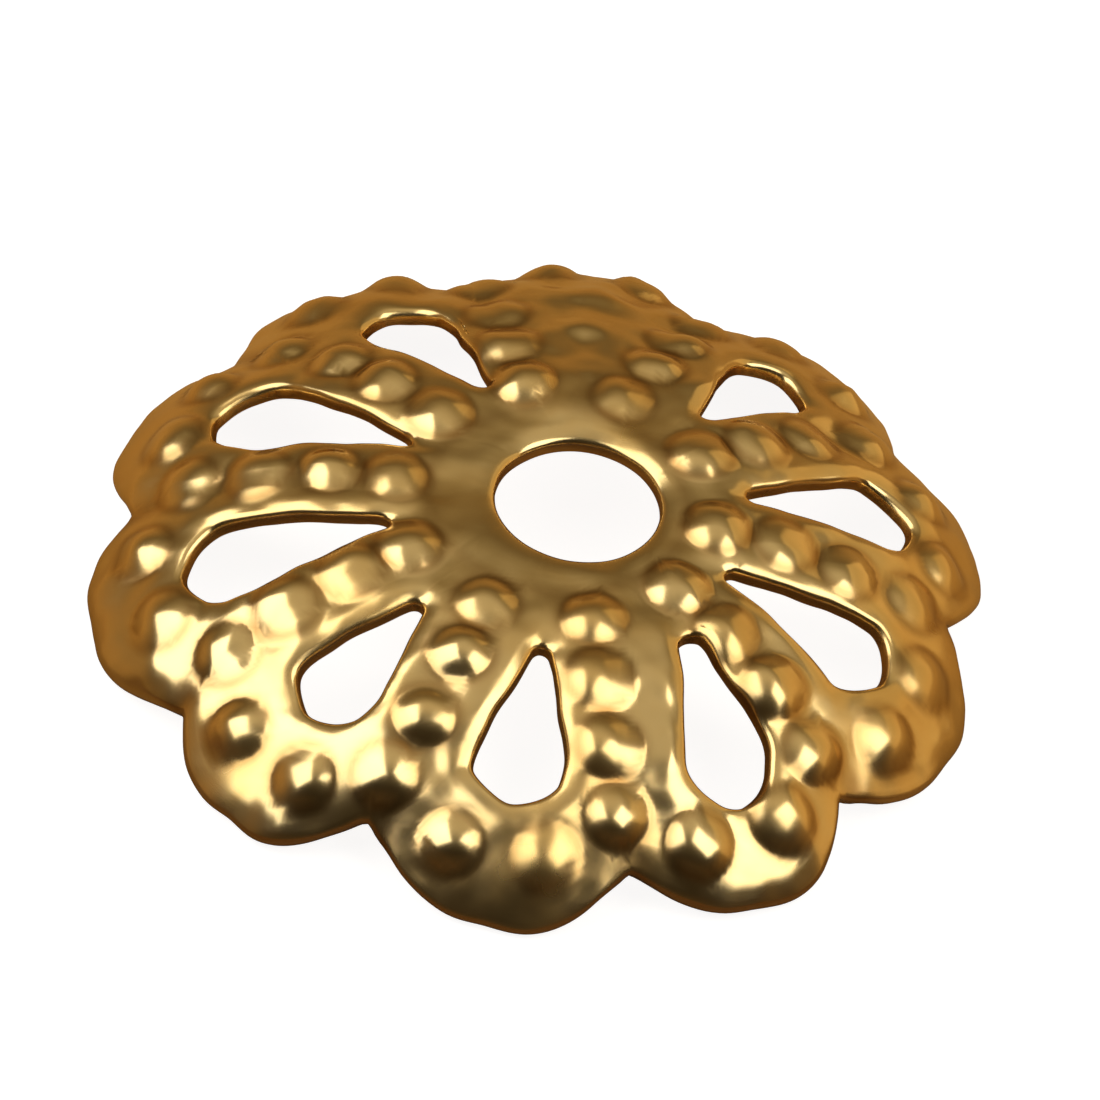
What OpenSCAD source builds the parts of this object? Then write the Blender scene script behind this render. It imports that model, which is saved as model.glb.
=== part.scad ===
// Flower bead cap: one piece of stamped sheet metal, a shallow dome of round petals.
// It rests on the tips of its petals, dome up, with the thread hole on the Z axis.
// The petal that is left unpierced points to +Y. Lengths are millimetres.

/* [Cap] */
// Diameter across the tips of opposite petals
cap_d = 9; // [8.5:0.1:12]
// Height of the hub's flat face above the petals' lowest edges
cap_h = 1.5; // [1.2:0.05:2.4]
// Thickness of the sheet
sheet_t = 0.16; // [0.12:0.01:0.25]
// Diameter of the thread hole
hole_d = 1.6; // [0.9:0.05:2]
// Diameter of the flat ring around the thread hole
hub_d = 2.5; // [2.3:0.05:3]
// Share of the dome that is a plain bowl; the rest stays flat for longer and turns down near the rim
bowl_share = 0.85; // [0.2:0.05:1]

/* [Petals] */
// Number of petals round the rim
petals = 10; // [8:1:11]
// Number of petals left unpierced
solid_petals = 1; // [0:1:3]
// How far the notches between the petals cut in from the petals' tips
notch_depth = 0.45; // [0.3:0.05:0.7]
// How far the middle of a petal bulges above the valleys beside it
petal_bulge = 0.1; // [0:0.01:0.2]

/* [Openings] */
// Metal between the hub's flat ring and the narrow end of an opening
hub_web = 0.54; // [0.4:0.02:0.8]
// Metal between the round end of an opening and the tip of its petal
petal_rim = 0.9; // [0.8:0.02:1.2]
// Greatest width of an opening, at its round end
opening_w = 0.96; // [0.6:0.02:1.1]
// Width of an opening at its narrow end, which is rounded too
opening_point_w = 0.24; // [0.1:0.02:0.5]

/* [Dots] */
// Diameter of a raised dot
dot_d = 0.62; // [0.5:0.02:0.66]
// Height of a raised dot
dot_h = 0.1; // [0.06:0.01:0.16]
// Number of dots along each rib
rib_dots = 4; // [3:1:4]
// Metal between the hub's flat ring and a rib's first dot
hub_gap = 0.03; // [0.02:0.01:0.1]
// Metal between a rib's last dot and the notch
notch_gap = 0.19; // [0.1:0.01:0.3]
// Metal between an opening's round end and the two dots beyond it
end_dot_gap = 0.1; // [0.05:0.01:0.15]
// Angle of those two dots from the petal's middle, about the centre of the round end
end_dot_angle = 30; // [26:1:40]
// Diameter of the dimple behind each dot
dimple_d = 0.5; // [0.3:0.02:0.5]
// Depth of that dimple
dimple_h = 0.08; // [0.04:0.01:0.1]

/* [Hidden] */

gold = [0.85, 0.66, 0.29];

// Facets: rows of the sheet inside the openings' length and beyond it, and columns in half a rib
opening_rows = 12;
rim_rows = 5;
half_cols = 4;
// The sheet is first made with a hole of this share of the thread hole, which then cuts it away
blank_hole = 0.6;
// Steps for reading a slope, in millimetres and degrees
slope_step = 0.002;
slope_turn = 0.05;
round_fn = 48;
// Turn of each dot and dimple about its own axis, so that its first edge lies clear of the rib's middle line
dot_turn = 11;

cap_r = cap_d / 2;
hub_r = hub_d / 2;
pitch = 360 / petals;
half_pitch = pitch / 2;
notch_r = cap_r - notch_depth;

// Each petal's rim is an arc through its tip and its two notches
lobe_c = (cap_r ^ 2 - notch_r ^ 2) / (2 * (cap_r - notch_r * cos(half_pitch)));
lobe_r = cap_r - lobe_c;

// A teardrop: a wide round end, a narrow one near the hub, and the two straight sides that touch both
open_start = hub_r + hub_web;
open_end = cap_r - petal_rim;
point_r = opening_point_w / 2;
point_c = open_start + point_r;
open_r = opening_w / 2;
open_c = open_end - open_r;
taper = asin((open_r - point_r) / (open_c - point_c));
side_offset = open_r - open_c * sin(taper);
function side_start(centre, radius) = norm([centre - radius * sin(taper), radius * cos(taper)]);

// Depth of the dome's outer face, so that the inner edges of the petals' tips come down to zero
rim_slope = (4 - 2 * bowl_share) / (cap_r - hub_r);
function settled_drop(drop, turns) =
    turns == 0 ? drop
    : settled_drop(cap_h + petal_bulge - sheet_t * cos(atan(drop * rim_slope)), turns - 1);
dome_drop = settled_drop(cap_h, 12);

function mix(a, b, share) = a + (b - a) * share;
function eased(x) = x <= 0 ? 0 : x >= 1 ? 1 : x * x * (3 - 2 * x);
function wrapped(angle, turn) = angle - floor(angle / turn) * turn;

// Azimuth of a petal's middle, counted from the unpierced one at +Y
function petal_azimuth(petal) = 90 + petal * pitch;
function is_open(petal) = petal % petals >= solid_petals;

// Angle from the middle of the nearest petal
function off_petal(azimuth) = abs(wrapped(azimuth - 90 + half_pitch, pitch) - half_pitch);

// Radius of the scalloped outline at an angle from a petal's middle
function outline_r(angle) = lobe_c * cos(angle) + sqrt(lobe_r ^ 2 - (lobe_c * sin(angle)) ^ 2);

// Half of the angle that an opening takes up at a radius
function angle_in_circle(r, centre, radius) = acos((r ^ 2 + centre ^ 2 - radius ^ 2) / (2 * r * centre));
function opening_angle(r) =
    r <= open_start || r >= open_end ? 0
    : r < side_start(point_c, point_r) ? angle_in_circle(r, point_c, point_r)
    : r < side_start(open_c, open_r) ? taper + asin(side_offset / r)
    : angle_in_circle(r, open_c, open_r);

// Height of the outer face: a flat hub, a dome round it, and a bulge on each petal
function dome_share(r) = max(0, (r - hub_r) / (cap_r - hub_r));
function drop(r) = dome_drop * (bowl_share * dome_share(r) ^ 2 + (1 - bowl_share) * dome_share(r) ^ 4);
function bulge(r, azimuth) =
    petal_bulge * eased((r - hub_r) / (open_end - hub_r)) * (1 - (off_petal(azimuth) / half_pitch) ^ 2);
function face_z(r, azimuth) = cap_h - drop(r) + bulge(r, azimuth);

function on_face(r, azimuth) = [r * cos(azimuth), r * sin(azimuth), face_z(r, azimuth)];
function slope_out(r, azimuth) =
    (face_z(r + slope_step, azimuth) - face_z(r - slope_step, azimuth)) / (2 * slope_step);
function slope_round(r, azimuth) =
    (face_z(r, azimuth + slope_turn) - face_z(r, azimuth - slope_turn)) / (2 * r * slope_turn * PI / 180);
function normal(r, azimuth) =
    let (out = slope_out(r, azimuth), round = slope_round(r, azimuth),
         n = [round * sin(azimuth) - out * cos(azimuth), -round * cos(azimuth) - out * sin(azimuth), 1])
    n / norm(n);

// Rows of the sheet, as [circle's radius, share of the way from that circle to the outline]
tip_row = 2;
end_row = tip_row + opening_rows;
rows = concat(
    [[blank_hole * hole_d / 2, 0], [hub_r, 0], [open_start, 0]],
    [for (k = [1:opening_rows]) [mix(open_start, open_end, (1 - cos(180 * k / opening_rows)) / 2), 0]],
    [for (k = [1:rim_rows]) [open_end, k / rim_rows]]
);
last_row = len(rows) - 1;
last_col = 2 * half_cols;

// The sheet is made in as many sectors as petals, each about the rib between petals s and s + 1
function pierced(row, petal) = is_open(petal) && row > tip_row && row < end_row;
function col_azimuth(s, row, col) =
    let (side = (col - half_cols) / half_cols,
         petal = side < 0 ? s : s + 1,
         gap = pierced(row, petal) ? opening_angle(rows[row][0]) : 0)
    petal_azimuth(s + 0.5) + side * (half_pitch - gap);
function sheet_place(s, row, col) =
    let (azimuth = col_azimuth(s, row, col),
         r = mix(rows[row][0], outline_r(off_petal(azimuth)), rows[row][1]))
    [r, azimuth];

sheet_points = [
    for (depth = [0, sheet_t], s = [0:petals - 1], row = [0:last_row], col = [0:last_col])
        let (place = sheet_place(s, row, col))
        on_face(place[0], place[1]) - depth * normal(place[0], place[1])
];

// Number of a point; along an unpierced petal's middle two sectors share their points
function point_id(face, s, row, col) =
    col == last_col && !pierced(row, s + 1) ? point_id(face, (s + 1) % petals, row, 0)
    : ((face * petals + s) * (last_row + 1) + row) * (last_col + 1) + col;

function flipped(face, tri) = face == 0 ? tri : [tri[2], tri[1], tri[0]];
function split_quad(q, lean) =
    lean ? [[q[0], q[1], q[2]], [q[0], q[2], q[3]]] : [[q[0], q[1], q[3]], [q[1], q[2], q[3]]];

skin_faces = [
    for (face = [0, 1], s = [0:petals - 1], row = [0:last_row - 1], col = [0:last_col - 1])
        let (quad = [point_id(face, s, row, col), point_id(face, s, row, col + 1),
                     point_id(face, s, row + 1, col + 1), point_id(face, s, row + 1, col)])
        for (tri = split_quad(quad, col < half_cols)) flipped(face, tri)
];

// A cut edge of the sheet joins the same two neighbours on its outer and inner faces
function edge_wall(s, a, b, turned) =
    let (quad = [point_id(0, s, a[0], a[1]), point_id(1, s, a[0], a[1]),
                 point_id(1, s, b[0], b[1]), point_id(0, s, b[0], b[1])])
    [for (tri = split_quad(quad, true)) flipped(turned ? 1 : 0, tri)];

wall_faces = [
    for (s = [0:petals - 1]) each concat(
        [for (col = [0:last_col - 1]) each edge_wall(s, [0, col], [0, col + 1], false)],
        [for (col = [0:last_col - 1]) each edge_wall(s, [last_row, col], [last_row, col + 1], true)],
        [for (row = [tip_row:end_row - 1]) if (is_open(s)) each edge_wall(s, [row, 0], [row + 1, 0], true)],
        [for (row = [tip_row:end_row - 1]) if (is_open(s + 1))
            each edge_wall(s, [row, last_col], [row + 1, last_col], false)]
    )
];

// Dots, as [radius, azimuth]: a row along each rib, and two beyond the round end of each petal
first_dot_r = hub_r + hub_gap + dot_d / 2;
last_dot_r = notch_r - notch_gap - dot_d / 2;
end_dot_ring = open_r + end_dot_gap + dot_d / 2;
end_dot = [open_c + end_dot_ring * cos(end_dot_angle), end_dot_ring * sin(end_dot_angle)];
dot_places = [
    for (s = [0:petals - 1]) each concat(
        [for (k = [0:rib_dots - 1])
            [mix(first_dot_r, last_dot_r, k / (rib_dots - 1)), petal_azimuth(s + 0.5)]],
        [for (side = [-1, 1]) [norm(end_dot), petal_azimuth(s) + side * atan2(end_dot.y, end_dot.x)]]
    )
];

// Radius of the ball whose cap has this diameter and height
function cap_ball_r(d, h) = (d ^ 2 / 4 + h ^ 2) / (2 * h);

module sheet() {
    polyhedron(points = sheet_points, faces = concat(skin_faces, wall_faces), convexity = 8);
}

// Puts its children on the outer face, with their Z along the sheet's normal there
module on_sheet(place) {
    up = normal(place[0], place[1]);
    translate(on_face(place[0], place[1]))
        rotate([0, acos(up.z), atan2(up.y, up.x)])
            rotate(dot_turn)
                children();
}

// A round-topped dot whose foot is sunk most of the way into the sheet
module dot() {
    foot = 0.7 * sheet_t;
    rotate_extrude($fn = round_fn)
        intersection() {
            translate([0, dot_h - cap_ball_r(dot_d, dot_h)])
                circle(r = cap_ball_r(dot_d, dot_h), $fn = round_fn);
            translate([0, -foot])
                square([dot_d / 2, foot + dot_h]);
        }
}

// The ball that presses the dimple behind a dot
module dimple() {
    translate([0, 0, -sheet_t + dimple_h - cap_ball_r(dimple_d, dimple_h)])
        sphere(r = cap_ball_r(dimple_d, dimple_h), $fn = round_fn);
}

module cap() {
    color(gold)
        difference() {
            union() {
                sheet();
                for (place = dot_places) on_sheet(place) dot();
            }
            for (place = dot_places) on_sheet(place) dimple();
            translate([0, 0, cap_h - 2 * sheet_t])
                cylinder(h = 3 * sheet_t, d = hole_d, $fn = round_fn);
        }
}

cap();
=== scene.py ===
import math
import random

import bmesh
import bpy
import numpy as np
from mathutils import Matrix, Vector, noise
from mathutils.kdtree import KDTree


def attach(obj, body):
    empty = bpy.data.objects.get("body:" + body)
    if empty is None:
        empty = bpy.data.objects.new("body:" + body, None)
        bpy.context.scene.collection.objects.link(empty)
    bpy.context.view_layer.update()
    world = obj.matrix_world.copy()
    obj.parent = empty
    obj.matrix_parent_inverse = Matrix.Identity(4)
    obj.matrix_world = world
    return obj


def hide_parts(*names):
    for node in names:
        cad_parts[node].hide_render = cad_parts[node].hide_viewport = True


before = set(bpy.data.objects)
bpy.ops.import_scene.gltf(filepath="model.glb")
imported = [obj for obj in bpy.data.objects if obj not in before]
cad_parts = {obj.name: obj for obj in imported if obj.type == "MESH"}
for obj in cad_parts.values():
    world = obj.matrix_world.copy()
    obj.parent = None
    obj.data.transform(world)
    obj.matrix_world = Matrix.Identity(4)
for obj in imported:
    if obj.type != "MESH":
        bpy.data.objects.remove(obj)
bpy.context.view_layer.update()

MM = 0.001
# The direction of the whole petal, which has no opening
BACK = math.pi / 2

# The cap's own sizes, as the solid has them
CAP_R = 4.5
CAP_H = 1.5
SHEET = 0.16
HOLE_R = 0.8
HUB_R = 1.25
BOWL_SHARE = 0.85
PETALS = 10
NOTCH_DEPTH = 0.45
PETAL_BULGE = 0.1
HUB_WEB = 0.54
PETAL_RIM = 0.9
OPEN_R = 0.48
POINT_R = 0.12
DOT_R = 0.31
DIMPLE_R = 0.25
DIMPLE_H = 0.08
RIB_DOTS = 4
HUB_GAP = 0.03
NOTCH_GAP = 0.19
END_DOT_GAP = 0.1
END_DOT_ANGLE = math.radians(30)

PITCH = 2 * math.pi / PETALS
HALF = PITCH / 2
NOTCH_R = CAP_R - NOTCH_DEPTH
LOBE_C = (CAP_R ** 2 - NOTCH_R ** 2) / (2 * (CAP_R - NOTCH_R * math.cos(HALF)))
LOBE_R = CAP_R - LOBE_C
OPEN_START = HUB_R + HUB_WEB
OPEN_END = CAP_R - PETAL_RIM

# Steps of half a ring of the blank round one petal, along the hub, the rib's middle line and the rim, and
# the rings between its opening and its outline. Steps next to a cut edge are longer than the edge's roll.
HUB_STEPS = 6
SIDE_STEPS = 62
RIM_STEPS = 26
RINGS = 14
CORE_RINGS = 9
CORNER_CLEAR = 0.04
ROLL_CLEAR = 0.1
# How much of an opening's outline faces the hub, how much of its round end faces the rib, and how far
# inwards of the opening's end the rib's steps reach that round end
FACING_HUB = 0.03
FACING_RIB = 0.37
ROUND_FROM = 0.25

# How the tools rounded the sheet
EDGE_ROLL = 0.06
BURR_ROLL = 0.02
NOTCH_SOFT = 0.05
VALLEY_SOFT = 0.03
DOT_FOOT = 0.05

# How far the lips of the openings and the rim droop, how far into the sheet, and how far inwards of the
# notches a cut edge still belongs to the rim
LIP_DROOP = 0.045
LIP_WIDTH = 0.13
RIM_DROOP = 0.04
RIM_WIDTH = 0.16
RIM_MARGIN = 0.1

# How far the tools were off their places. Here and below, a rise or a fade gives the place where it
# starts and its width, by radius where nothing else is said.
PIERCING_SHIFT = (0.16, -0.05)
PIERCING_FADE = (1.2, 2.2)
HOLE_SHIFT = (0.04, 0.13)
HOLE_FADE = (HOLE_R, 0.6)
TRIM_RISE = (3, 1.1)
DOTS_TURN = math.radians(-1.5)
DOT_STRAY = 0.035

# The dot punch's height, the shares of its width and height that the dots come out at, and how far a dot
# pushes the sheet beside it outwards, by distance from the dot and clear of the hole
DOT_H = 0.11
DOT_WIDTHS = (0.88, 1.12)
DOT_RISES = (0.75, 1.1)
SQUEEZE = 0.05
SQUEEZE_RISE = (0, 0.3)
SQUEEZE_FADE = (0.42, 0.3)
SQUEEZE_OFF_HOLE = (HOLE_R, 0.3)

# Waves in the whole sheet, which are low at the hole's edge, in the hub, and dents in the whole petal
WAVES = [
    # height, size of a bump, seed
    (0.045, 1.1, 1),
    (0.035, 0.5, 2),
    (0.008, 0.22, 4),
]
HUB_WAVES = (0.02, 0.35, 5)
HUB_WAVES_FADE = (1.3, 0.4)
HOLE_CALM = 0.35
HOLE_CALM_RISE = (HOLE_R, 0.7)
DENTS = (0.06, 0.42, 3)
DENTS_RISE = (1.6, 0.5)
DENTS_FADE = (3.9, 0.5)
SEED_SHIFT = (17.3, 5.1, 9.7)

# How the petals are bent to stand on their tips
BEND_RISE = (2, 2.3)
AT_TIP = 0.8
TIP_CLEARANCE = 0.04

# Painted shade: how much darker the gold's colour is painted in the folds, where shade falls: round a dot's
# foot, in the valleys between petals, by share of the way from a petal's middle and by radius, and round the
# hub
FOOT_SHADE = 0.6
FOOT_OUT = 0.01
FOOT_WIDTH = 0.06
VALLEY_SHADE = 0.6
VALLEY_ACROSS = (0.8, 0.2)
VALLEY_RISE = (3.6, 0.4)
HUB_SHADE = 0.3
HUB_WIDTH = 0.08

# How the piercing punch cut each opening, in turn from the whole petal, where it only shapes the mesh: how
# far its narrow and round ends lie outwards of their places, its width, and how far they lie to the left
PUNCHED = [
    # narrow, round, width, narrow left, round left
    (0.00, 0.00, 1.00, 0.00, 0.00),
    (0.00, -0.24, 1.00, -0.17, -0.03),
    (-0.06, 0.00, 1.12, -0.12, 0.00),
    (-0.02, 0.03, 1.12, -0.03, 0.00),
    (0.18, -0.08, 0.98, -0.12, 0.00),
    (0.06, -0.04, 1.00, -0.05, 0.00),
    (0.12, 0.15, 1.04, 0.25, 0.02),
    (-0.17, 0.06, 1.02, -0.04, 0.00),
    (-0.03, 0.13, 1.00, 0.00, -0.13),
    (0.14, -0.10, 0.92, -0.10, -0.17),
]
# How the trimming punch cut the rim, in turn from the whole petal: how far each petal's tip, and the
# notch to the left of it, lie outwards of their places, and how far the notch lies to the left
TRIMMED = [
    # tip, notch, notch left
    (0.00, 0.00, 0.00),
    (0.02, 0.04, 0.06),
    (0.00, 0.00, -0.08),
    (0.00, 0.00, 0.06),
    (-0.08, -0.20, -0.17),
    (-0.10, -0.14, -0.06),
    (-0.06, -0.16, -0.18),
    (-0.14, -0.15, 0.04),
    (-0.08, 0.00, 0.00),
    (0.00, 0.00, 0.00),
]

# The gold plate of each side of the sheet: its colour, the warmer one of its patches and the darker one
# painted as shade in its folds, its roughness where it is smooth and where it is rough, and the height of
# its bump in metres
FACE, HOLLOW, CUT_EDGE = range(3)
GOLDS = [
    # name, plain colour, patches, painted shade in the folds, smooth, rough, bump
    ("gold_face", (0.93, 0.71, 0.35), (0.88, 0.61, 0.24), (0.42, 0.23, 0.07), 0.15, 0.29, 0.000006),
    # painted shade: the hollow's colours are darker and warmer than the face's, for the shade under the dome
    ("gold_hollow_painted_shade", (0.88, 0.60, 0.22), (0.80, 0.48, 0.14), (0.45, 0.22, 0.05), 0.2, 0.34, 0.000008),
    ("gold_cut_edge", (0.85, 0.56, 0.18), (0.72, 0.42, 0.11), (0.45, 0.22, 0.05), 0.18, 0.32, 0.00001),
]
PATCH_SCALE = 900
HAIRLINE_SCALE = 2600
HAIRLINE_STRETCH = (0.12, 1, 1)
HAIRLINE_TURN = (0.2, 0.1, 0.7)
HAIRLINE_DEPTH = 0.15

# The floor, its colours as the metal mirrors it, in front of the cap and behind it, and where along Y
# the one turns into the other
FLOOR_HALF = 0.5
FLOOR_GAP = 0.00001
CARD = (0.35, 0.35, 0.35)
CARD_GLOW = 0.9
MIRRORED_FRONT = (0.1, 0.045, 0.01)
MIRRORED_BACK = (0.5, 0.3, 0.1)
MIRRORED_FROM = -0.004
MIRRORED_TO = 0.003

LIGHT_AIM = Vector((0, 0, 0.001))
LIGHTS = [
    # name, place, width and height, strength, colour
    ("left_light", (-0.0755, -0.0133, 0.0923), (0.122, 0.1), 1.9, (1, 0.97, 0.92)),
    ("right_light", (0.0685, -0.0277, 0.0946), (0.08, 0.09), 2, (1, 0.96, 0.88)),
    ("warm_light", (0.094, 0.054, 0.05), (0.16, 0.08), 0.36, (1, 0.7, 0.3)),
]
# The sky's colours from the horizon up, and how dark it is in front and how light behind the cap
SKY = [
    # height, colour
    (0.0, (0.36, 0.2, 0.06)),
    (0.5, (0.13, 0.09, 0.04)),
    (0.72, (0.25, 0.195, 0.11)),
    (0.92, (0.48, 0.41, 0.29)),
]
SKY_FRONT = -0.6
SKY_BEHIND = 0.2
SKY_DARK = 0.15

CAMERA_AIM = Vector((0, 0, 0.0008))
CAMERA_TURN = math.radians(-0.6)
CAMERA_HEIGHT = math.radians(45)
CAMERA_ROLL = math.radians(8.4)
CAMERA_FAR = 0.084
CAMERA_LENS = 285

draw = random.Random(20)


def ramp(x, start, width):
    """Rises smoothly from 0 at the start to 1 a width further on."""
    x = np.clip((x - start) / width, 0, 1)
    return x * x * (3 - 2 * x)


def mix(a, b, share):
    return a + (b - a) * share


def soft_max(a, b, blend):
    """The greater of two values, with a rounded change from one to the other."""
    near = np.maximum(blend - np.abs(a - b), 0) / blend
    return np.maximum(a, b) + near * near * blend / 4


def polar(plan):
    return np.hypot(plan[:, 0], plan[:, 1]), np.arctan2(plan[:, 1], plan[:, 0])


def add_object(name, data):
    """A new object of the scene, at the origin."""
    made = bpy.data.objects.new(name, data)
    bpy.context.scene.collection.objects.link(made)
    return made


# The flat blank

def lobe(angle):
    """Radius of a petal's round tip at an angle from its middle."""
    reach = max(0, LOBE_R ** 2 - (LOBE_C * math.sin(angle)) ** 2)
    return LOBE_C * math.cos(angle) + math.sqrt(reach)


def rim_radius(angle):
    """Radius of the scalloped rim at an angle from a petal's middle, with slightly rounded notches."""
    return float(soft_max(lobe(angle), lobe(PITCH - angle), NOTCH_SOFT))


def petal_outline():
    """Half of a petal's outline, as (along, across): hub, then the rib's middle line, then the rim."""
    side_start, side_end = HOLE_R + CORNER_CLEAR, rim_radius(HALF) - CORNER_CLEAR
    places = [(HOLE_R, HALF * k / HUB_STEPS) for k in range(HUB_STEPS + 1)]
    places += [(mix(side_start, side_end, k / SIDE_STEPS), HALF) for k in range(1, SIDE_STEPS)]
    for k in range(RIM_STEPS + 1):
        angle = HALF * (1 - k / RIM_STEPS)
        places.append((rim_radius(angle), angle))
    return [(radius * math.cos(angle), radius * math.sin(angle)) for radius, angle in places]


def opening_outline(start, end, width):
    """Half of a teardrop's outline, with as many points as the petal's outline."""
    quarter = math.pi / 2
    wide, narrow = OPEN_R * width, POINT_R * width
    wide_at, narrow_at = end - OPEN_R, start + POINT_R
    taper = math.asin((wide - narrow) / (wide_at - narrow_at))
    straight = math.sqrt((wide_at - narrow_at) ** 2 - (OPEN_R - POINT_R) ** 2)
    narrow_arc = POINT_R * (quarter - taper)
    wide_arc = OPEN_R * (quarter + taper)
    side_end = narrow_arc + straight
    rib_radius = [HOLE_R, OPEN_START, OPEN_END - ROUND_FROM, NOTCH_R]
    rib_place = [FACING_HUB, narrow_arc + FACING_HUB, side_end, side_end + FACING_RIB]
    places = [FACING_HUB * k / HUB_STEPS for k in range(HUB_STEPS)]
    places += [float(np.interp(mix(HOLE_R, NOTCH_R, k / SIDE_STEPS), rib_radius, rib_place))
               for k in range(SIDE_STEPS)]
    places += [mix(side_end + FACING_RIB, side_end + wide_arc, k / RIM_STEPS)
               for k in range(RIM_STEPS + 1)]
    outline = []
    for place in places:
        if place < narrow_arc:
            turn = math.pi - place / POINT_R
            outline.append((narrow_at + narrow * math.cos(turn), narrow * math.sin(turn)))
        elif place < side_end:
            share = (place - narrow_arc) / straight
            radius = mix(narrow, wide, share)
            outline.append((mix(narrow_at, wide_at, share) - radius * math.sin(taper),
                            radius * math.cos(taper)))
        else:
            turn = quarter + taper - (place - side_end) / OPEN_R
            outline.append((wide_at + wide * math.cos(turn), wide * math.sin(turn)))
    return outline


def whole_ring(half):
    """A closed ring from its half, which runs from the hub side to the rim side."""
    return half + [(along, -across) for along, across in half[-2:0:-1]]


def rings_between(opening, outline):
    """Rings from an opening to its petal's outline, each with the first and last clear of the edge rolls."""
    rings = []
    for k in range(RINGS - 2):
        ring = []
        for inner, outer in zip(opening, outline):
            clear = ROLL_CLEAR / math.dist(inner, outer)
            share = mix(clear, 1 - clear, k / (RINGS - 3))
            ring.append((mix(inner[0], outer[0], share), mix(inner[1], outer[1], share)))
        rings.append(ring)
    return rings + [outline]


def grow_ring(bm, ring_edges, spots, layer):
    """Draws a ring of the sheet on from its last edges, to new spots."""
    made = bmesh.ops.extrude_edge_only(bm, edges=ring_edges)["geom"]
    for vert in made:
        if isinstance(vert, bmesh.types.BMVert):
            vert.co = spots[vert[layer]]
    return [edge for edge in made if isinstance(edge, bmesh.types.BMEdge)]


def blank_petal(bm, petal):
    """One petal of the blank, from its opening's edge out to its outline; the first has no opening."""
    layer = bm.verts.layers.int["step"]
    narrow, wide, width, narrow_left, wide_left = PUNCHED[petal]
    start, end = OPEN_START + narrow, OPEN_END + wide
    opening = [(along, across + mix(narrow_left, wide_left, (along - start) / (end - start)))
               for along, across in whole_ring(opening_outline(start, end, width))]
    ways = [rings_between(opening, whole_ring(petal_outline()))]
    if petal == 0:
        ways.append([whole_ring(opening_outline(start, end, 1 - k / CORE_RINGS))
                     for k in range(1, CORE_RINGS + 1)])
    turned = Matrix.Rotation(BACK + petal * PITCH, 3, "Z")
    first = bmesh.ops.create_circle(bm, segments=len(opening), radius=1)["verts"]
    for step, vert in enumerate(first):
        vert[layer] = step
        vert.co = turned @ Vector((*opening[step], 0))
    first_edges = list({edge for vert in first for edge in vert.link_edges})
    for way in ways:
        edges = first_edges
        for ring in way:
            edges = grow_ring(bm, edges, [turned @ Vector((*spot, 0)) for spot in ring], layer)


def thicken(bm):
    """Gives the sheet its thickness, below an outer face at zero, with its normals outwards."""
    bmesh.ops.recalc_face_normals(bm, faces=bm.faces[:])
    if sum(face.normal.z for face in bm.faces) < 0:
        bmesh.ops.reverse_faces(bm, faces=bm.faces[:])
    bmesh.ops.solidify(bm, geom=bm.faces[:], thickness=SHEET)
    top = max(vert.co.z for vert in bm.verts)
    bmesh.ops.translate(bm, verts=bm.verts[:], vec=(0, 0, -top))
    bmesh.ops.recalc_face_normals(bm, faces=bm.faces[:])


def blank():
    """The flat sheet with its openings, thickness and rounded cut edges, its outer face at zero."""
    merge, level_error, sharp = 0.0005, 1e-4, 1
    bm = bmesh.new()
    bm.verts.layers.int.new("step")
    for petal in range(PETALS):
        blank_petal(bm, petal)
    bmesh.ops.remove_doubles(bm, verts=bm.verts[:], dist=merge)
    bmesh.ops.dissolve_degenerate(bm, edges=bm.edges[:], dist=merge)
    thicken(bm)
    for level, roll in ((0, EDGE_ROLL), (-SHEET, BURR_ROLL)):
        cut = [edge for edge in bm.edges
               if all(abs(vert.co.z - level) < level_error for vert in edge.verts)
               and edge.is_manifold and edge.calc_face_angle() > sharp]
        bmesh.ops.bevel(bm, geom=cut, offset=roll, segments=3, profile=0.5, affect="EDGES", material=-1)
    # the press would fold long quads along the wrong diagonal
    flats = {face for face in bm.faces if max(abs(face.normal.x), abs(face.normal.y)) < level_error}
    quads = [face for face in flats if len(face.verts) == 4
             and all(near in flats for vert in face.verts for near in vert.link_faces)]
    bmesh.ops.triangulate(bm, faces=quads, quad_method="SHORT_EDGE")
    return bm


# The dome

def dome_drop():
    """Drop of the dome that brings the inner edges of the petals' tips down to zero."""
    drop = CAP_H
    for _ in range(12):
        slope = drop * (4 - 2 * BOWL_SHARE) / (CAP_R - HUB_R)
        drop = CAP_H + PETAL_BULGE - SHEET * math.cos(math.atan(slope))
    return drop


DOME_DROP = dome_drop()


def off_petal(azimuth):
    """Share of the way from the nearest petal's middle to the valley beside it."""
    return np.abs((azimuth - BACK + HALF) % PITCH - HALF) / HALF


def face_z(radius, azimuth):
    """Height of the outer face, as the solid has it, with a softer valley between the petals."""
    u = np.maximum(0, (radius - HUB_R) / (CAP_R - HUB_R))
    off = off_petal(azimuth)
    crown = 1 - off ** 2 + 2 * VALLEY_SOFT * np.exp((off - 1) / VALLEY_SOFT)
    bulge = PETAL_BULGE * ramp(radius, HUB_R, OPEN_END - HUB_R) * crown
    return CAP_H - DOME_DROP * (BOWL_SHARE * u ** 2 + (1 - BOWL_SHARE) * u ** 4) + bulge


def on_face(radius, azimuth):
    return np.stack([radius * np.cos(azimuth), radius * np.sin(azimuth), face_z(radius, azimuth)], -1)


def face_normal(radius, azimuth):
    """Unit normal of the outer face, from its slopes outwards and round."""
    step = 0.002
    turn = step / radius
    out = (face_z(radius + step, azimuth) - face_z(radius - step, azimuth)) / (2 * step)
    round_ = (face_z(radius, azimuth + turn) - face_z(radius, azimuth - turn)) / (2 * step)
    normal = np.stack([round_ * np.sin(azimuth) - out * np.cos(azimuth),
                       -round_ * np.cos(azimuth) - out * np.sin(azimuth), np.ones_like(radius)], -1)
    return normal / np.linalg.norm(normal, axis=-1, keepdims=True)


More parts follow.
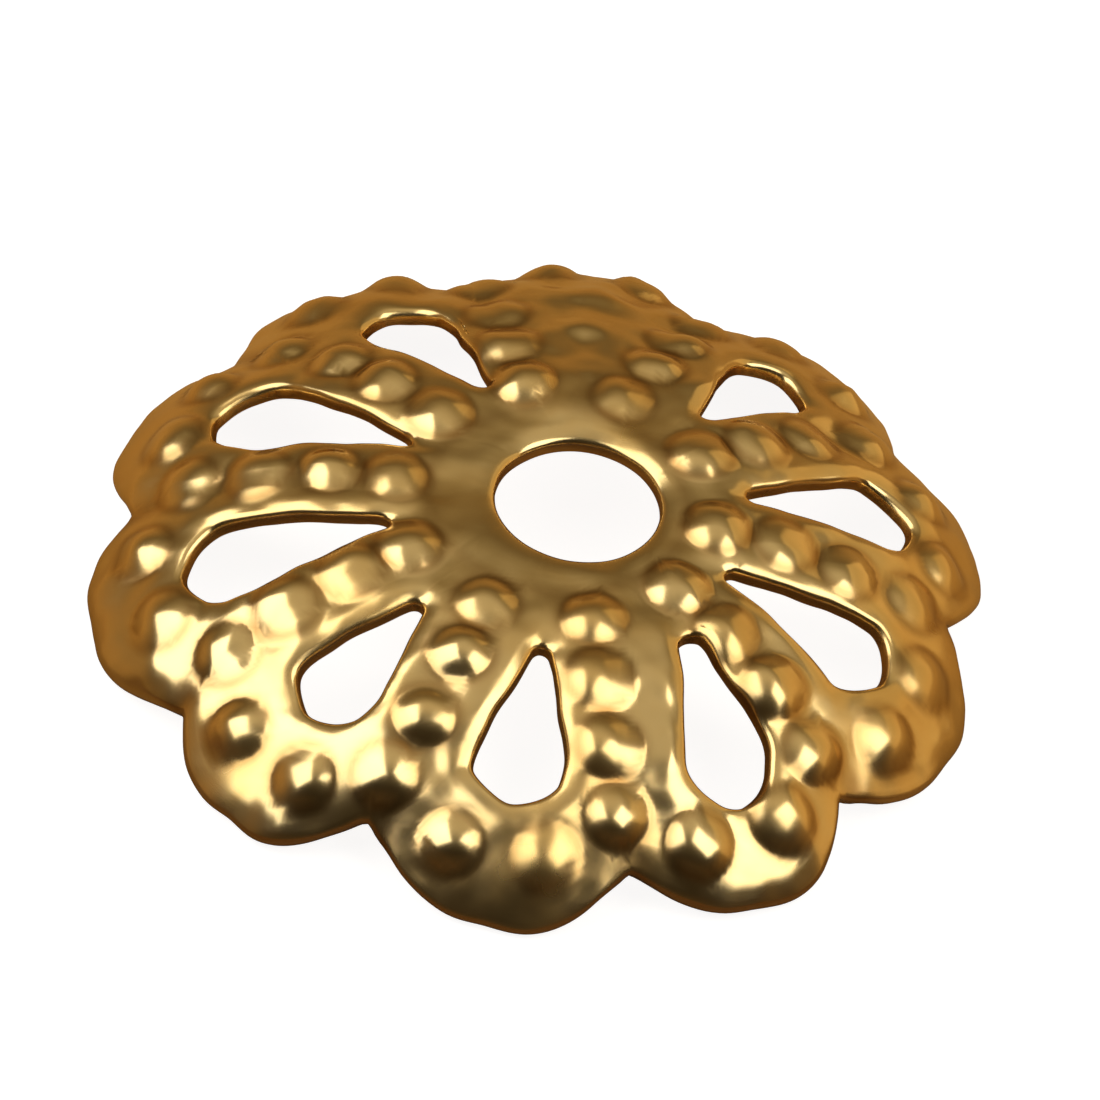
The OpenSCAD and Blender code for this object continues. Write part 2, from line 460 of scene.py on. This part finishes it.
# What the tools did to the sheet

def trim(radius, azimuth):
    """How far outwards and to the left the rim's unevenness draws a place on the sheet."""
    tips, notches, lefts = np.array(TRIMMED).T
    turn = (azimuth - BACK) / PITCH % PETALS
    nearest = np.rint(turn).astype(int) % PETALS
    notch = np.floor(turn).astype(int) % PETALS
    share = ramp(np.abs(turn - np.rint(turn)), 0, 0.5)
    near_rim = ramp(radius, *TRIM_RISE)
    return mix(tips[nearest], notches[notch], share) * near_rim, lefts[notch] * share * near_rim


def stray():
    """A dot's slip from its place, in one direction."""
    return draw.uniform(-DOT_STRAY, DOT_STRAY)


def dot_centres():
    """Centres of the dots on the outer face: a row along each rib and two beyond each opening."""
    ring = OPEN_R + END_DOT_GAP + DOT_R
    end_along = OPEN_END - OPEN_R + ring * math.cos(END_DOT_ANGLE)
    end_across = ring * math.sin(END_DOT_ANGLE)
    end_radius, end_turn = math.hypot(end_along, end_across), math.atan2(end_across, end_along)
    rib_start, rib_end = HUB_R + HUB_GAP + DOT_R, NOTCH_R - NOTCH_GAP - DOT_R
    centres = []
    for petal in range(PETALS):
        middle = BACK + petal * PITCH + DOTS_TURN
        places = [(mix(rib_start, rib_end, k / (RIB_DOTS - 1)), middle + HALF) for k in range(RIB_DOTS)]
        places += [(end_radius, middle - end_turn), (end_radius, middle + end_turn)]
        for radius, azimuth in places:
            out_stray, left_stray = stray(), stray()
            dot_radius, dot_azimuth = np.array((radius + out_stray, azimuth + left_stray / radius))
            out, left = trim(dot_radius, dot_azimuth)
            centres.append(on_face(dot_radius + out / 2, dot_azimuth + left / dot_radius))
    return centres


def misplaced(flat):
    """Places in plan of the flat sheet after the piercing and trimming punches were off theirs."""
    radius, azimuth = polar(flat)
    piercing = 1 - ramp(radius, *PIERCING_FADE)
    hole = 1 - ramp(radius, *HOLE_FADE)
    out, left = trim(radius, azimuth)
    outwards = np.stack([np.cos(azimuth), np.sin(azimuth)], -1)
    leftwards = np.stack([-np.sin(azimuth), np.cos(azimuth)], -1)
    return (flat[:, :2] + piercing[:, None] * np.array(PIERCING_SHIFT) + hole[:, None] * np.array(HOLE_SHIFT)
            + out[:, None] * outwards + left[:, None] * leftwards)


def squeezed(plan, flat_radius, centres):
    """Places in plan after each dot pushed the sheet round it away, which waves the openings' edges."""
    least = 1e-6
    push = np.zeros_like(plan)
    for centre in centres:
        away = plan - centre[:2]
        gap = np.linalg.norm(away, axis=1)
        near = ramp(gap, *SQUEEZE_RISE) * (1 - ramp(gap, *SQUEEZE_FADE))
        push += away / np.maximum(gap, least)[:, None] * near[:, None] * SQUEEZE
    return plan + push * ramp(flat_radius, *SQUEEZE_OFF_HOLE)[:, None]


def ball_cap(distance, radius, height):
    """Height of a round-topped bump at distances from its middle, running out softly at its foot."""
    ball = (radius ** 2 + height ** 2) / (2 * height)
    top = np.sqrt(np.maximum(ball ** 2 - distance ** 2, 0)) - (ball - height)
    return soft_max(top, 0, DOT_FOOT)


def struck(base, centres, outer):
    """Height of the dots, on the hollow side of their dimples, and how near each place is to their feet."""
    dots, dimples, feet = (np.zeros(len(base)) for _ in range(3))
    for centre in centres:
        gap = np.linalg.norm(base - centre, axis=1)
        width = draw.uniform(*DOT_WIDTHS)
        rise = draw.uniform(*DOT_RISES)
        dots = np.maximum(dots, ball_cap(gap, DOT_R * width, DOT_H * rise))
        dimples = np.maximum(dimples, ball_cap(gap, DIMPLE_R * width, DIMPLE_H * rise))
        feet += np.exp(-((gap - DOT_R - FOOT_OUT) / FOOT_WIDTH) ** 2)
    return mix(dimples, dots, outer), feet


def ripples(spots, height, size, seed):
    """Smooth unevenness up to a height, with bumps of a given size."""
    shift = Vector([seed * along for along in SEED_SHIFT])
    return height * np.array([noise.noise(Vector(spot) / size + shift) for spot in spots])


def waves(base, flat_radius, radius, azimuth):
    """Height of the sheet's waves, of the hub's own, and of the dents in the whole petal."""
    wave = sum(ripples(base, *row) for row in WAVES)
    wave += (1 - ramp(radius, *HUB_WAVES_FADE)) * ripples(base, *HUB_WAVES)
    wave *= mix(HOLE_CALM, 1, ramp(flat_radius, *HOLE_CALM_RISE))
    whole = np.cos(azimuth - BACK) > math.cos(HALF)
    dented = ramp(radius, *DENTS_RISE) * (1 - ramp(radius, *DENTS_FADE)) * (1 - off_petal(azimuth) ** 2)
    return wave + whole * dented * ripples(base, *DENTS)


def gap_to(spots, others):
    """Distance in plan from each spot to the nearest of others."""
    tree = KDTree(len(others))
    for k, (x, y, _) in enumerate(others):
        tree.insert((x, y, 0), k)
    tree.balance()
    return np.array([tree.find((x, y, 0))[2] for x, y, _ in spots])


def droop(flat, radius):
    """How far the sheet droops beside the cut edges of the openings and of the rim."""
    cut = (flat[:, 2] < -EDGE_ROLL) & (flat[:, 2] > -SHEET + BURR_ROLL / 2)
    inside = radius < NOTCH_R - RIM_MARGIN
    lips = np.exp(-(gap_to(flat, flat[cut & inside]) / LIP_WIDTH) ** 2)
    rim = np.exp(-(gap_to(flat, flat[cut & ~inside]) / RIM_WIDTH) ** 2)
    return LIP_DROOP * lips + RIM_DROOP * rim


def stand_on_tips(placed, radius, azimuth):
    """Bends each petal until its tip is on the table or just clear of it."""
    for petal in range(PETALS):
        turn = (azimuth - BACK - petal * PITCH + math.pi) % (2 * math.pi) - math.pi
        share = ramp(radius, *BEND_RISE) * np.maximum(0, 1 - (turn / HALF) ** 2)
        tip = placed[share > AT_TIP, 2].min()
        placed[:, 2] += (draw.uniform(0, TIP_CLEARANCE) - tip) * share
    placed[:, 2] -= placed[:, 2].min()


def fold_shade_weight(feet, radius, azimuth):
    """How much painted shade each place gets in the folds, from 0 to 1."""
    valley = ramp(off_petal(azimuth), *VALLEY_ACROSS) * ramp(radius, *VALLEY_RISE)
    hub = np.exp(-((radius - HUB_R) / HUB_WIDTH) ** 2)
    return np.clip(FOOT_SHADE * feet + VALLEY_SHADE * valley + HUB_SHADE * hub, 0, 1)


def press(bm, mesh):
    """Presses the flat blank into the dome, and keeps how much painted shade each place gets in the folds.
    """
    bm.to_mesh(mesh)
    flat = np.empty(len(mesh.vertices) * 3)
    mesh.vertices.foreach_get("co", flat)
    flat = flat.reshape(-1, 3)
    flat_radius, _ = polar(flat)
    depth = flat[:, 2]
    centres = dot_centres()
    radius, azimuth = polar(squeezed(misplaced(flat), flat_radius, centres))
    base = on_face(radius, azimuth)
    dots, feet = struck(base, centres, (depth + SHEET) / SHEET)
    lift = depth + dots + waves(base, flat_radius, radius, azimuth) - droop(flat, flat_radius)
    placed = base + face_normal(radius, azimuth) * lift[:, None]
    stand_on_tips(placed, radius, azimuth)
    mesh.vertices.foreach_set("co", (placed * MM).ravel())
    # painted shade in the folds, kept for the materials to darken the gold
    folds = mesh.attributes.new("fold_shade", "FLOAT", "POINT")
    folds.data.foreach_set("value", fold_shade_weight(feet, radius, azimuth).astype(np.float32))
    mesh.update()


def side_of(face):
    """Which side of the flat sheet a face of the blank is on."""
    level = sum(vert.co.z for vert in face.verts) / len(face.verts)
    if level > -EDGE_ROLL:
        return FACE
    if level < -SHEET + BURR_ROLL:
        return HOLLOW
    return CUT_EDGE


def make_cap():
    bm = blank()
    for face in bm.faces:
        face.smooth = True
        face.material_index = side_of(face)
    mesh = bpy.data.meshes.new("bead_cap")
    press(bm, mesh)
    bm.free()
    return add_object("bead_cap", mesh)


# Materials

def add_node(tree, kind, values=None, **settings):
    """A new node of a tree, with its settings and the values of its inputs."""
    node = tree.nodes.new("ShaderNode" + kind)
    for setting, value in settings.items():
        setattr(node, setting, value)
    for socket, value in (values or {}).items():
        node.inputs[socket].default_value = value
    return node


def join(tree, source, output, target, socket):
    tree.links.new(source.outputs[output], target.inputs[socket])


def worn_plate_group():
    """Unevenness of thin gold plate: broad patches, and a height of them and of fine hairline scratches."""
    group = bpy.data.node_groups.new("worn_plate", "ShaderNodeTree")
    for name in ("Patches", "Height"):
        group.interface.new_socket(name, in_out="OUTPUT", socket_type="NodeSocketFloat")
    coords = add_node(group, "TexCoord")
    patches = add_node(group, "TexNoise",
                       {"Scale": PATCH_SCALE, "Detail": 3, "Roughness": 0.55, "Distortion": 0.4})
    stretched = add_node(group, "Mapping", {"Rotation": HAIRLINE_TURN, "Scale": HAIRLINE_STRETCH})
    hairs = add_node(group, "TexNoise", {"Scale": HAIRLINE_SCALE, "Detail": 2})
    narrow = add_node(group, "MapRange", {"From Min": 0.62, "From Max": 0.75})
    height = add_node(group, "Math", {1: -HAIRLINE_DEPTH}, operation="MULTIPLY_ADD")
    outputs = group.nodes.new("NodeGroupOutput")
    join(group, coords, "Object", patches, "Vector")
    join(group, coords, "Object", stretched, "Vector")
    join(group, stretched, "Vector", hairs, "Vector")
    join(group, hairs, "Fac", narrow, "Value")
    join(group, narrow, "Result", height, 0)
    join(group, patches, "Fac", height, 2)
    join(group, patches, "Fac", outputs, "Patches")
    join(group, height, "Value", outputs, "Height")
    return group


def gold(group, name, plain, warm, fold_shade_colour, smooth, rough, bump):
    """Gold plate of one colour that turns warmer and rougher in patches, and darker in the folds as painted
    shade.
    """
    material = bpy.data.materials.new(name)
    material.use_nodes = True
    tree = material.node_tree
    shader = tree.nodes["Principled BSDF"]
    shader.inputs["Metallic"].default_value = 1
    wear = add_node(tree, "Group", node_tree=group)
    fold_shade = add_node(tree, "Attribute", attribute_name="fold_shade")
    tint = add_node(tree, "MapRange", {"From Min": 0.4, "From Max": 0.7})
    patched = add_node(tree, "Mix", {"A": (*plain, 1), "B": (*warm, 1)}, data_type="RGBA")
    # painted shade: the colour is darkened in the folds
    shaded_in_folds = add_node(tree, "Mix", {"B": (*fold_shade_colour, 1)}, data_type="RGBA")
    gloss = add_node(tree, "MapRange",
                     {"From Min": 0.3, "From Max": 0.75, "To Min": smooth, "To Max": rough})
    relief = add_node(tree, "Bump", {"Strength": 1, "Distance": bump})
    join(tree, wear, "Patches", tint, "Value")
    join(tree, tint, "Result", patched, "Factor")
    join(tree, patched, "Result", shaded_in_folds, "A")
    join(tree, fold_shade, "Fac", shaded_in_folds, "Factor")
    join(tree, shaded_in_folds, "Result", shader, "Base Color")
    join(tree, wear, "Patches", gloss, "Value")
    join(tree, gloss, "Result", shader, "Roughness")
    join(tree, wear, "Height", relief, "Height")
    join(tree, relief, "Normal", shader, "Normal")
    return material


def pale_floor():
    """White card that glows a little; mirrored in the metal it is darker and warmer than it looks."""
    material = bpy.data.materials.new("pale_floor")
    material.use_nodes = True
    tree = material.node_tree
    card = tree.nodes["Principled BSDF"]
    for socket, value in (("Base Color", (*CARD, 1)), ("Roughness", 0.7),
                          ("Emission Color", (1, 1, 1, 1)), ("Emission Strength", CARD_GLOW)):
        card.inputs[socket].default_value = value
    coords = add_node(tree, "TexCoord")
    parts = add_node(tree, "SeparateXYZ")
    away = add_node(tree, "MapRange", {"From Min": MIRRORED_FROM, "From Max": MIRRORED_TO})
    tone = add_node(tree, "Mix", {"A": (*MIRRORED_FRONT, 1), "B": (*MIRRORED_BACK, 1)}, data_type="RGBA")
    mirrored = add_node(tree, "BsdfDiffuse")
    path = add_node(tree, "LightPath")
    either = add_node(tree, "MixShader")
    join(tree, coords, "Object", parts, "Vector")
    join(tree, parts, "Y", away, "Value")
    join(tree, away, "Result", tone, "Factor")
    join(tree, tone, "Result", mirrored, "Color")
    join(tree, path, "Is Glossy Ray", either, "Fac")
    join(tree, card, "BSDF", either, 1)
    join(tree, mirrored, "BSDF", either, 2)
    join(tree, either, "Shader", tree.nodes["Material Output"], "Surface")
    return material


# Floor, light and camera

def make_floor():
    bm = bmesh.new()
    bmesh.ops.create_grid(bm, x_segments=1, y_segments=1, size=FLOOR_HALF)
    bmesh.ops.translate(bm, verts=bm.verts[:], vec=(0, 0, -FLOOR_GAP))
    mesh = bpy.data.meshes.new("floor")
    bm.to_mesh(mesh)
    bm.free()
    mesh.materials.append(pale_floor())
    return add_object("floor", mesh)


def soft_light(name, place, size, strength, colour):
    """A soft box that faces the cap; strength is how bright it looks."""
    light = bpy.data.lights.new(name, "AREA")
    light.shape = "RECTANGLE"
    light.size, light.size_y = size
    light.energy = strength * math.pi * size[0] * size[1]
    light.color = colour
    box = add_object(name, light)
    box.location = place
    box.rotation_euler = (LIGHT_AIM - Vector(place)).to_track_quat("-Z", "Y").to_euler()


def make_sky():
    """A warm studio room, darker in front of the cap than behind it."""
    world = bpy.data.worlds.new("studio")
    bpy.context.scene.world = world
    world.use_nodes = True
    tree = world.node_tree
    coords = add_node(tree, "TexCoord")
    parts = add_node(tree, "SeparateXYZ")
    tones = add_node(tree, "ValToRGB")
    elements = tones.color_ramp.elements
    for element, (height, colour) in zip((elements[0], elements[1]), (SKY[0], SKY[-1])):
        element.position = height
        element.color = (*colour, 1)
    for height, colour in SKY[1:-1]:
        elements.new(height).color = (*colour, 1)
    behind = add_node(tree, "MapRange",
                      {"From Min": SKY_FRONT, "From Max": SKY_BEHIND, "To Min": SKY_DARK},
                      interpolation_type="SMOOTHSTEP")
    shaded = add_node(tree, "VectorMath", operation="SCALE")
    join(tree, coords, "Generated", parts, "Vector")
    join(tree, parts, "Z", tones, "Fac")
    join(tree, parts, "Y", behind, "Value")
    join(tree, tones, "Color", shaded, 0)
    join(tree, behind, "Result", shaded, "Scale")
    join(tree, shaded, "Vector", tree.nodes["Background"], "Color")


def make_camera():
    camera = bpy.data.cameras.new("camera")
    camera.sensor_width = 36
    camera.lens = CAMERA_LENS
    camera.clip_start, camera.clip_end = 0.002, 5
    viewer = add_object("camera", camera)
    level = math.cos(CAMERA_HEIGHT)
    back = Vector((math.sin(CAMERA_TURN) * level, -math.cos(CAMERA_TURN) * level, math.sin(CAMERA_HEIGHT)))
    viewer.location = CAMERA_AIM + back * CAMERA_FAR
    viewer.rotation_euler = (back.to_track_quat("Z", "Y").to_matrix()
                             @ Matrix.Rotation(CAMERA_ROLL, 3, "Z")).to_euler()
    return viewer


cap = make_cap()
worn_plate = worn_plate_group()
for row in GOLDS:
    cap.data.materials.append(gold(worn_plate, *row))
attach(cap, "root")
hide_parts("cap")

floor = make_floor()

for row in LIGHTS:
    soft_light(*row)
make_sky()
bpy.context.scene.camera = make_camera()
bpy.context.scene.view_settings.view_transform = "Standard"
